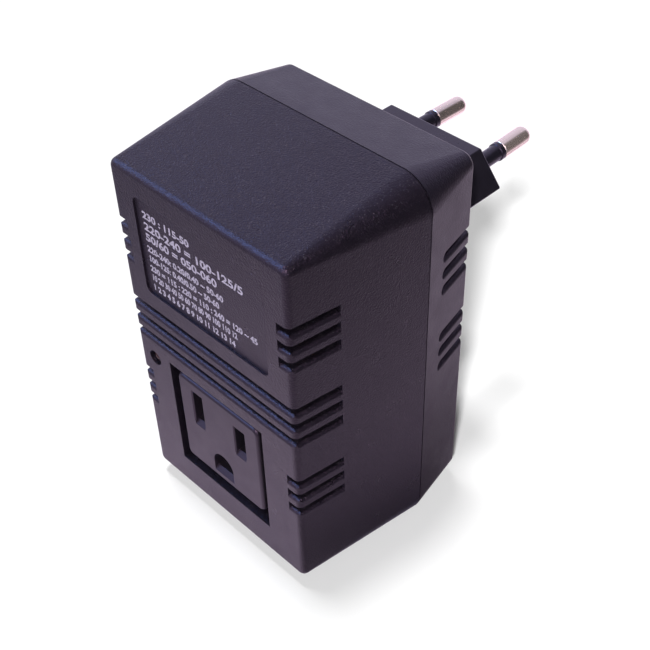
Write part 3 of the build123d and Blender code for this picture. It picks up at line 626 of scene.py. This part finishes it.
def printedRow(z, height, length, figures):
    # one row of flat figures, squeezed to its length and stood up on the recess floor
    plate = platePrint
    text = bpy.data.curves.new("plateRow", "FONT")
    text.body = figures
    text.size = height * plate["sizePerHeight"] * mm
    text.resolution_u = plate["curveSteps"]
    text.offset = plate["stroke"] * mm
    row = bpy.data.objects.new("plateRow", text)
    scene.collection.objects.link(row)
    bpy.context.view_layer.update()
    flat = bpy.data.meshes.new_from_object(row.evaluated_get(bpy.context.evaluated_depsgraph_get()))
    bpy.data.objects.remove(row)
    reach = max(spot.co.x for spot in flat.vertices)
    corner = (plate["left"], socketFaceY + plateRecess["drawnY"] - plate["lift"], z - height / 2)
    place = Matrix.Translation(Vector(corner) * mm) @ Matrix.Rotation(math.pi / 2, 4, "X")
    flat.transform(place @ Matrix.Scale(length * mm / reach, 4, (1, 0, 0)))
    return flat


def makePrint():
    whole = bmesh.new()
    for row in platePrint["rows"]:
        whole.from_mesh(printedRow(*row))
    bmesh.ops.remove_doubles(whole, verts=whole.verts, dist=platePrint["weld"] * mm)
    for face in whole.faces:
        if face.normal.y > 0:
            face.normal_flip()
    addPiece("ratingPrint", toMesh(whole, "ratingPrint"), inkMaterial(), "white_insulation")


makePrint()
print("plate print made")


# Geometry Nodes: screws, laminations, winding turns and terminal pins
def growthTree(name, **sizes):
    sizes = dict(Geometry=None, **sizes)
    return newTree("GeometryNodeTree", name, sizes, "Geometry", outKind="NodeSocketGeometry")


def shapeNode(tree, kind, **values):
    return feed(tree, addNode(tree, "GeometryNode" + kind), **values)[0]


def endTree(tree, outer, geometry, finish):
    real = shapeNode(tree, "RealizeInstances", Geometry=geometry)
    smooth = shapeNode(tree, "SetShadeSmooth", Geometry=real)
    feed(tree, outer, Geometry=shapeNode(tree, "SetMaterial", Geometry=smooth, Material=finish))
    return tree


def combine(tree, x, y, z):
    return plugAll(tree, addNode(tree, "ShaderNodeCombineXYZ"), x, y, z)[0]


def grow(tree, name, base, crease=35, **values):
    # runs the tree on the base mesh and hands back a plain mesh
    host = bpy.data.objects.new(name, base)
    scene.collection.objects.link(host)
    growth = host.modifiers.new(name, "NODES")
    growth.node_group = tree
    for item in tree.interface.items_tree:
        if item.item_type == "SOCKET" and item.name.replace(" ", "_") in values:
            growth[item.identifier] = values[item.name.replace(" ", "_")]
    depsgraph = bpy.context.evaluated_depsgraph_get()
    mesh = bpy.data.meshes.new_from_object(host.evaluated_get(depsgraph), depsgraph=depsgraph)
    host.modifiers.remove(growth)
    bpy.data.objects.remove(host)
    mesh.name = name
    mesh.set_sharp_from_angle(angle=math.radians(crease))
    return mesh


def spots(name, places):
    mesh = bpy.data.meshes.new(name)
    mesh.from_pydata([tuple(Vector(place) * mm) for place in places], [], [])
    return mesh


# startRate: the shank begins as a point inside the head; pointLength: its tip, in shank radii;
# overlap: how far the shank stands up into the head; dome: how the head falls off towards its rim
screwForm = dict(across=33, along=121, startRate=20000.0, pointLength=1.2, overlap=0.2 * mm,
                 weld=0.004 * mm, headSides=48, headRings=8, domePower=5.0, domeDepth=0.5)


def makeShank(tree, size):
    form = screwForm
    sheet = shapeNode(tree, "MeshGrid", Size_X=1.0, Size_Y=1.0,
                      Vertices_X=form["across"], Vertices_Y=form["along"])
    at = splitNode(tree, shapeNode(tree, "InputPosition"))
    turn = mathNode(tree, "ADD", at["X"], 0.5)
    down = times(tree, mathNode(tree, "ADD", at["Y"], 0.5), size["Shank Length"])
    pitches = mathNode(tree, "DIVIDE", down, size["Thread Pitch"])
    phase = mathNode(tree, "FRACT", mathNode(tree, "ADD", pitches, turn))
    flank = mathNode(tree, "ABSOLUTE", mathNode(tree, "SUBTRACT", times(tree, phase, 2.0), 1.0))
    radius = mathNode(tree, "SUBTRACT", size["Shank Radius"], times(tree, flank, size["Thread Depth"]))
    left = mathNode(tree, "SUBTRACT", size["Shank Length"], down)
    tip = times(tree, size["Shank Radius"], form["pointLength"])
    point = mathNode(tree, "DIVIDE", left, tip, clamp=True)
    start = times(tree, down, form["startRate"], clamp=True)
    radius = times(tree, times(tree, radius, point), start)
    angle = times(tree, turn, 2 * math.pi)
    rolled = combine(tree, times(tree, radius, mathNode(tree, "COSINE", angle)),
                     times(tree, radius, mathNode(tree, "SINE", angle)),
                     mathNode(tree, "SUBTRACT", form["overlap"], down))
    shank = shapeNode(tree, "SetPosition", Geometry=sheet, Position=rolled)
    return shapeNode(tree, "MergeByDistance", Geometry=shank, Distance=form["weld"])


def makeHead(tree, size):
    form = screwForm
    disc = shapeNode(tree, "MeshCylinder", Radius=size["Head Radius"], Depth=size["Head Height"],
                     Vertices=form["headSides"], Side_Segments=1, Fill_Segments=form["headRings"])
    spot = splitNode(tree, shapeNode(tree, "InputPosition"))
    outward = vectorNode(tree, "LENGTH", combine(tree, spot["X"], spot["Y"], 0.0))
    share = mathNode(tree, "DIVIDE", outward, size["Head Radius"])
    reach = mathNode(tree, "POWER", share, form["domePower"])
    sink = times(tree, times(tree, reach, form["domeDepth"]), size["Head Height"])
    upper = mathNode(tree, "GREATER_THAN", spot["Z"], 0.0)
    lift = mathNode(tree, "SUBTRACT", times(tree, size["Head Height"], 0.5), times(tree, sink, upper))
    head = shapeNode(tree, "SetPosition", Geometry=disc, Offset=combine(tree, 0.0, 0.0, lift))
    deep = times(tree, size["Drive Depth"], 2.0)
    long, wide = size["Drive Length"], size["Drive Width"]
    slot = shapeNode(tree, "MeshCube", Size=combine(tree, long, wide, deep))
    across = shapeNode(tree, "MeshCube", Size=combine(tree, wide, long, deep))
    pick = addNode(tree, "GeometryNodeSwitch", input_type="GEOMETRY")
    across = plugAll(tree, pick, size["Cross"], None, across)[0]
    top = combine(tree, 0.0, 0.0, size["Head Height"])
    bits = [shapeNode(tree, "Transform", Geometry=bit, Translation=top) for bit in (slot, across)]
    cut = addNode(tree, "GeometryNodeMeshBoolean", operation="DIFFERENCE")
    return feed(tree, cut, Mesh_1=head, Mesh_2=bits)[0]


def makeScrewTree(finish):
    # threaded shank below a domed head with a slot or a cross, set on every point of the input
    tree, size, outer = growthTree(
        "screwSet", Shank_Radius=1.45 * mm, Shank_Length=14.0 * mm, Thread_Pitch=0.9 * mm,
        Thread_Depth=0.22 * mm, Head_Radius=2.7 * mm, Head_Height=1.9 * mm, Drive_Length=2.6 * mm,
        Drive_Width=0.6 * mm, Drive_Depth=1.1 * mm, Cross=True, Seed=3)
    screw = shapeNode(tree, "JoinGeometry", Geometry=[makeShank(tree, size), makeHead(tree, size)])
    spin = addNode(tree, "FunctionNodeRandomValue", data_type="FLOAT")
    spin.inputs[3].default_value = math.pi
    turned = combine(tree, -math.pi / 2, feed(tree, spin, Seed=size["Seed"])[1], 0.0)
    placed = shapeNode(tree, "InstanceOnPoints", Points=size["Geometry"], Instance=screw, Rotation=turned)
    return endTree(tree, outer, placed, finish)


smallScrew = dict(Shank_Radius=0.88 * mm, Thread_Pitch=0.6 * mm, Thread_Depth=0.15 * mm, Cross=False,
                  Head_Height=1.3 * mm, Drive_Length=4.2 * mm, Drive_Width=0.5 * mm, Drive_Depth=0.55 * mm)
# seat: depth of the head's underside behind the socket face; places: x and height, mm
screwSets = {
    "caseScrews": dict(node="case_screws", seat=34.1, sizes=dict(Seed=3),
                       places=[(-18.5, 10.0), (18.5, 10.0), (-18.5, 43.2), (18.5, 43.2)]),
    "socketScrews": dict(node="socket_screws", seat=6.4,
                         places=[(-11, 9.4), (11, 9.4), (-11, 42.5), (11, 42.5)],
                         sizes=dict(smallScrew, Shank_Length=3.6 * mm, Head_Radius=1.9 * mm, Seed=5)),
    "retainerScrews": dict(node="retainer_screws", seat=18.2, places=[(0, 35.85), (0, 25.85)],
                           sizes=dict(smallScrew, Shank_Length=6.1 * mm, Head_Radius=1.8 * mm, Seed=8)),
}
screwTree = makeScrewTree(finishes["zincPlate"])
for pieceName, screws in screwSets.items():
    base = spots(pieceName + "Spots", [(x, socketFaceY + screws["seat"], z) for x, z in screws["places"]])
    mesh = grow(screwTree, pieceName, base, **screws["sizes"])
    addPiece(pieceName, mesh, finishes["zincPlate"], "zinc_steel", screws["node"])
print("screws made:", len(screwSets))


def makeStackTree(finish):
    # one plate copied along the stack, each a hair out of line as pressed stacks are
    tree, size, outer = growthTree("plateStack", Count=44, Pitch=0.5 * mm, Stagger=0.03 * mm, Seed=11)
    line = shapeNode(tree, "MeshLine", Count=size["Count"], Offset=combine(tree, 0.0, size["Pitch"], 0.0))
    shift = addNode(tree, "FunctionNodeRandomValue", data_type="FLOAT_VECTOR")
    shift = feed(tree, shift, Min=(-1, 0, -1), Max=(1, 0, 1), Seed=size["Seed"])[0]
    scaled = addNode(tree, "ShaderNodeVectorMath", operation="SCALE")
    scaled = feed(tree, scaled, Vector=shift, Scale=size["Stagger"])[0]
    loose = shapeNode(tree, "SetPosition", Geometry=line, Offset=scaled)
    placed = shapeNode(tree, "InstanceOnPoints", Points=loose, Instance=size["Geometry"])
    return endTree(tree, outer, placed, finish)


# sizes of the punched plates and the place of the stack, mm; within legZone of the middle the burr
# doesn't narrow the plate
core = dict(width=41.0, leg=12.8, limb=6.4, yoke=6.4, window=21.2, bottom=47.0, frontY=10.5, plate=0.5,
            burr=0.05, legZone=10)


def platePrism(name, outline):
    # punched plate with a slight burr round its edge, so that the joints of the stack show
    middleX = sum(x for x, z in outline) / len(outline)
    middleZ = sum(z for x, z in outline) / len(outline)
    plate, burr = core["plate"], core["burr"]
    shape = bmesh.new()
    rings = []
    for y, inset in ((0, burr), (burr, 0), (plate - burr, 0), (plate, burr)):
        ring = []
        for x, z in outline:
            inX = math.copysign(inset, middleX - x) if abs(middleX - x) > core["legZone"] else 0
            inZ = math.copysign(inset, middleZ - z)
            ring.append(shape.verts.new(Vector((x + inX, socketFaceY + core["frontY"] + y, z + inZ)) * mm))
        rings.append(ring)
    skinRings(shape, rings)
    shape.faces.new(rings[0])
    shape.faces.new(rings[-1])
    bmesh.ops.recalc_face_normals(shape, faces=shape.faces)
    return toMesh(shape, name)


def makeCore():
    half, leg, low = core["width"] / 2, core["leg"] / 2, core["bottom"]
    sill, top = low + core["yoke"], low + core["yoke"] + core["window"]
    inner = half - core["limb"]
    letterE = [(-half, low), (half, low), (half, top), (inner, top), (inner, sill), (leg, sill), (leg, top),
               (-leg, top), (-leg, sill), (-inner, sill), (-inner, top), (-half, top)]
    letterI = [(-half, top), (half, top), (half, top + core["yoke"]), (-half, top + core["yoke"])]
    tree = makeStackTree(finishes["siliconSteel"])
    for name, node, outline in (("coreEPlates", "core_e_plates", letterE),
                                ("coreIPlates", "core_i_plates", letterI)):
        mesh = grow(tree, name, platePrism(name + "Plate", outline))
        addPiece(name, mesh, finishes["siliconSteel"], "silicon_steel", node)


makeCore()
print("core stacks made")


# start: layer on the former's tube; build: height of the layers; wire: diameter, mm
windings = {
    "commonWinding": dict(node="common_winding", start=0.0, build=3.0, wire=0.3, turns=64),
    "seriesWinding": dict(node="series_winding", start=3.2, build=2.3, wire=0.48, turns=40),
}
bobbin = dict(tubeX=7.4, tubeY=12.0, middleY=21.5, bottom=54.4, top=73.6, corner=0.6, cornerSteps=8)
coilForm = dict(pathPoints=72, wireSides=8)


def makeCoilTree(finish):
    # turns of wire round a rounded oblong, laid over the body that comes in
    tree, size, outer = growthTree(
        "windingTurns", Width=20.0 * mm, Depth=30.0 * mm, Corner=3.0 * mm, Wire=0.3 * mm, Turns=60,
        Bottom=54.0 * mm, Middle=-19.65 * mm)
    oblong = shapeNode(tree, "CurvePrimitiveQuadrilateral", Width=size["Width"], Height=size["Depth"])
    rounded = shapeNode(tree, "FilletCurve", Curve=oblong, Radius=size["Corner"])
    path = shapeNode(tree, "ResampleCurve", Curve=rounded, Count=coilForm["pathPoints"])
    line = shapeNode(tree, "MeshLine", Count=size["Turns"], Offset=combine(tree, 0.0, 0.0, size["Wire"]),
                     Start_Location=combine(tree, 0.0, size["Middle"], size["Bottom"]))
    turns = shapeNode(tree, "InstanceOnPoints", Points=line, Instance=path)
    turns = shapeNode(tree, "RealizeInstances", Geometry=turns)
    section = shapeNode(tree, "CurvePrimitiveCircle", Resolution=coilForm["wireSides"],
                        Radius=times(tree, size["Wire"], 0.5))
    wire = shapeNode(tree, "CurveToMesh", Curve=turns, Profile_Curve=section)
    return endTree(tree, outer, shapeNode(tree, "JoinGeometry", Geometry=[size["Geometry"], wire]), finish)


def oblongRing(name, inner, outer, z0, z1):
    # body of the layers below the outermost turns
    shape = bmesh.new()
    rings = []
    for reach, z in ((inner, z0), (outer, z0), (outer, z1), (inner, z1)):
        round_ = bobbin["corner"] + reach
        ring = []
        for quarter, (signX, signY) in enumerate(((1, 1), (-1, 1), (-1, -1), (1, -1))):
            for step in range(bobbin["cornerSteps"] + 1):
                angle = math.pi / 2 * (quarter + step / bobbin["cornerSteps"])
                x = signX * (bobbin["tubeX"] + reach - round_) + round_ * math.cos(angle)
                y = signY * (bobbin["tubeY"] + reach - round_) + round_ * math.sin(angle)
                ring.append(shape.verts.new(Vector((x, socketFaceY + bobbin["middleY"] + y, z)) * mm))
        rings.append(ring)
    skinRings(shape, rings, closed=True)
    bmesh.ops.recalc_face_normals(shape, faces=shape.faces)
    return toMesh(shape, name)


def makeWindings():
    tree = makeCoilTree(finishes["enamelCopper"])
    for name, coil in windings.items():
        line = coil["start"] + coil["build"] - coil["wire"] / 2
        body = oblongRing(name + "Body", coil["start"], line, bobbin["bottom"], bobbin["top"])
        mesh = grow(tree, name, body, Width=2 * (bobbin["tubeX"] + line) * mm,
                    Depth=2 * (bobbin["tubeY"] + line) * mm, Corner=(bobbin["corner"] + line) * mm,
                    Wire=coil["wire"] * mm, Turns=coil["turns"],
                    Bottom=(bobbin["bottom"] + coil["wire"] / 2) * mm,
                    Middle=(socketFaceY + bobbin["middleY"]) * mm)
        addPiece(name, mesh, finishes["enamelCopper"], "copper_wire", coil["node"])


makeWindings()
print("windings made:", len(windings))


# taper: how fast a terminal reaches its full radius from the share it has at its ends
terminals = dict(xs=(-10.5, -4.6, 4.6, 10.5), y=36.6, bottom=46.9, length=5.5, radius=0.5,
                 rings=28, sides=24, taper=12.0, endShare=0.6)


def makeTerminalTree(finish):
    tree, size, outer = growthTree("terminalSet", Radius=0.5 * mm, Length=5.5 * mm)
    line = shapeNode(tree, "CurvePrimitiveLine", End=combine(tree, 0.0, 0.0, size["Length"]))
    path = shapeNode(tree, "ResampleCurve", Curve=line, Count=terminals["rings"])
    along = shapeNode(tree, "SplineParameter")
    ends = times(tree, along, mathNode(tree, "SUBTRACT", 1.0, along))
    taper = mathNode(tree, "ADD", times(tree, ends, terminals["taper"]), terminals["endShare"])
    shaped = shapeNode(tree, "SetCurveRadius", Curve=path, Radius=mathNode(tree, "MINIMUM", taper, 1.0))
    section = shapeNode(tree, "CurvePrimitiveCircle", Resolution=terminals["sides"], Radius=size["Radius"])
    rod = shapeNode(tree, "CurveToMesh", Curve=shaped, Profile_Curve=section, Fill_Caps=True)
    placed = shapeNode(tree, "InstanceOnPoints", Points=size["Geometry"], Instance=rod)
    return endTree(tree, outer, placed, finish)


places = [(x, socketFaceY + terminals["y"], terminals["bottom"]) for x in terminals["xs"]]
base = spots("terminalSpots", places)
mesh = grow(makeTerminalTree(finishes["tinnedWire"]), "windingTerminals", base,
            Radius=terminals["radius"] * mm, Length=terminals["length"] * mm)
addPiece("windingTerminals", mesh, finishes["tinnedWire"], "tinned_wire", "winding_terminals")
print("terminals made:", len(terminals["xs"]))


# floor: white for the camera; for the gloss of the case it carries painted light and shade: painted shade
# far to the front left, a painted shadow of the case in bands to the right and painted light behind
floorLook = dict(
    size=3.0, tone=(0.96, 0.96, 0.96), glow=0.03, rough=0.9,
    mirrorTint=(1.04, 0.88, 1.08), near=(0.80, 0.80, 0.80), far=(0.33, 0.35, 0.37),
    farTowards=(-0.7, -0.7, 0), farBetween=(0.05, 0.13), behindBetween=(0.02, 0.05), behindGain=1.38,
    # how the painted shadow bands to the right run: share of 0.2 m, then brightness
    bandReach=0.2, bands=((0.11, 1.0), (0.85, 0.03), (0.15, 0.12), (0.20, 0.30), (0.25, 0.85), (0.30, 1.00),
                          (0.36, 0.66), (0.48, 0.25)))


def directionShare(tree, vector, direction, low, high):
    along = vectorNode(tree, "DOT_PRODUCT", vector, Vector(direction).normalized())
    return rangeNode(tree, along, low, high)


def bandRamp(tree, x):
    ramp = addNode(tree, "ShaderNodeValToRGB")
    stops = ramp.color_ramp.elements
    for index, (place, level) in enumerate(floorLook["bands"]):
        stop = stops[index] if index < 2 else stops.new(place)  # a new ramp comes with two stops
        stop.position, stop.color = place, rgba((level, level, level))
    return plugAll(tree, ramp, rangeNode(tree, x, 0.0, floorLook["bandReach"]))[0]


def makeFloor():
    look = floorLook
    size = look["size"]
    mesh = bpy.data.meshes.new("floor")
    corners = [(-size, -size, 0), (size, -size, 0), (size, size, 0), (-size, size, 0)]
    mesh.from_pydata(corners, [], [(0, 1, 2, 3)])
    floor = bpy.data.objects.new("floor", mesh)
    scene.collection.objects.link(floor)
    material, tree, surface, coords = startMaterial("paleFloor")
    path = addNode(tree, "ShaderNodeLightPath").outputs
    at = splitNode(tree, coords)
    # what the gloss mirrors: painted shade far to the front left, painted light behind, a painted shadow of
    # the case in bands to the right, and a violet tint
    far = directionShare(tree, coords, look["farTowards"], *look["farBetween"])
    mirrored = mixColour(tree, far, rgba(look["near"]), rgba(look["far"]))
    behind = rangeNode(tree, at["Y"], *look["behindBetween"], 1.0, look["behindGain"])
    for factor in (behind, bandRamp(tree, at["X"]), look["mirrorTint"] + (1,)):
        mirrored = mixColour(tree, 1.0, mirrored, factor, "MULTIPLY")
    feed(tree, surface, Base_Color=mixColour(tree, path["Is Glossy Ray"], rgba(look["tone"]), mirrored),
         Roughness=look["rough"], Specular_IOR_Level=0.0, Emission_Color=(1, 1, 1, 1),
         Emission_Strength=times(tree, path["Is Camera Ray"], look["glow"]))
    mesh.materials.append(material)


# surroundings: what the gloss mirrors, as direction, where its patch begins and is full, and colour
worldLook = dict(
    level=0.08, band=(0.80, 0.79, 1.02),
    ceiling=((0, 0, 1), 0.60, 0.90, (0.25, 0.26, 0.36)),
    darkCorner=((0.75, 0.51, 0.42), 0.66, 0.84, (0.01, 0.01, 0.015)),
    window=((-0.54, -0.38, 0.75), 0.945, 0.98, (2.5, 4.5, 8.2)),
    flash=((0.54, -0.51, 0.67), 0.955, 0.985, (9.0, 7.4, 8.0)))


def makeWorld():
    world = bpy.data.worlds.new("studio")
    scene.world = world
    world.use_nodes = True
    tree = world.node_tree
    tree.nodes.clear()
    around = addNode(tree, "ShaderNodeTexCoord").outputs["Generated"]
    path = addNode(tree, "ShaderNodeLightPath").outputs
    mirrored = worldLook["band"] + (1,)
    for patch in ("ceiling", "darkCorner", "window", "flash"):
        direction, begins, full, tone = worldLook[patch]
        share = directionShare(tree, around, direction, begins, full)
        mirrored = mixColour(tree, share, mirrored, tone + (1,))
    level = worldLook["level"]
    spread = mixColour(tree, path["Is Glossy Ray"], (level, level, level, 1), mirrored)
    seen = mixColour(tree, path["Is Camera Ray"], spread, (1, 1, 1, 1))
    background = feed(tree, addNode(tree, "ShaderNodeBackground"), Color=seen)
    feed(tree, addNode(tree, "ShaderNodeOutputWorld"), Surface=background[0])


# direction towards the sun, strength and width in degrees
suns = {"frontSun": ((0.424, -0.625, 0.656), 3.0, 5), "sideSun": ((-0.11, 0.015, 0.994), 1.35, 9)}


def makeSuns():
    for name, (direction, strength, width) in suns.items():
        light = bpy.data.lights.new(name, "SUN")
        light.energy = strength
        light.angle = math.radians(width)
        holder = bpy.data.objects.new(name, light)
        holder.rotation_euler = Vector(direction).to_track_quat("Z", "Y").to_euler()
        holder.visible_glossy = False  # the gloss shows the soft surroundings, not the suns
        scene.collection.objects.link(holder)


photoCamera = dict(place=(0.13115, -0.13354, 0.20183), turn=-46.892, tilt=42.161, roll=-2.010, lens=64.20,
                   sensor=36.0, nearest=0.01)


def makeCamera():
    turn, tilt, roll = (math.radians(photoCamera[key]) for key in ("turn", "tilt", "roll"))
    forward = Vector((math.cos(tilt) * math.sin(turn), math.cos(tilt) * math.cos(turn), -math.sin(tilt)))
    level = Vector((math.cos(turn), -math.sin(turn), 0))
    upward = level.cross(forward)
    right = math.cos(roll) * level + math.sin(roll) * upward
    upright = -math.sin(roll) * level + math.cos(roll) * upward
    view = bpy.data.cameras.new("photoCamera")
    view.sensor_width = photoCamera["sensor"]
    view.lens = photoCamera["lens"]
    view.clip_start = photoCamera["nearest"]
    camera = bpy.data.objects.new("photoCamera", view)
    place = Matrix((right, upright, -forward)).transposed().to_4x4()
    place.translation = photoCamera["place"]
    camera.matrix_world = place
    scene.collection.objects.link(camera)
    scene.camera = camera


makeFloor()
makeWorld()
makeSuns()
makeCamera()
scene.view_settings.view_transform = "Standard"
print("studio ready")
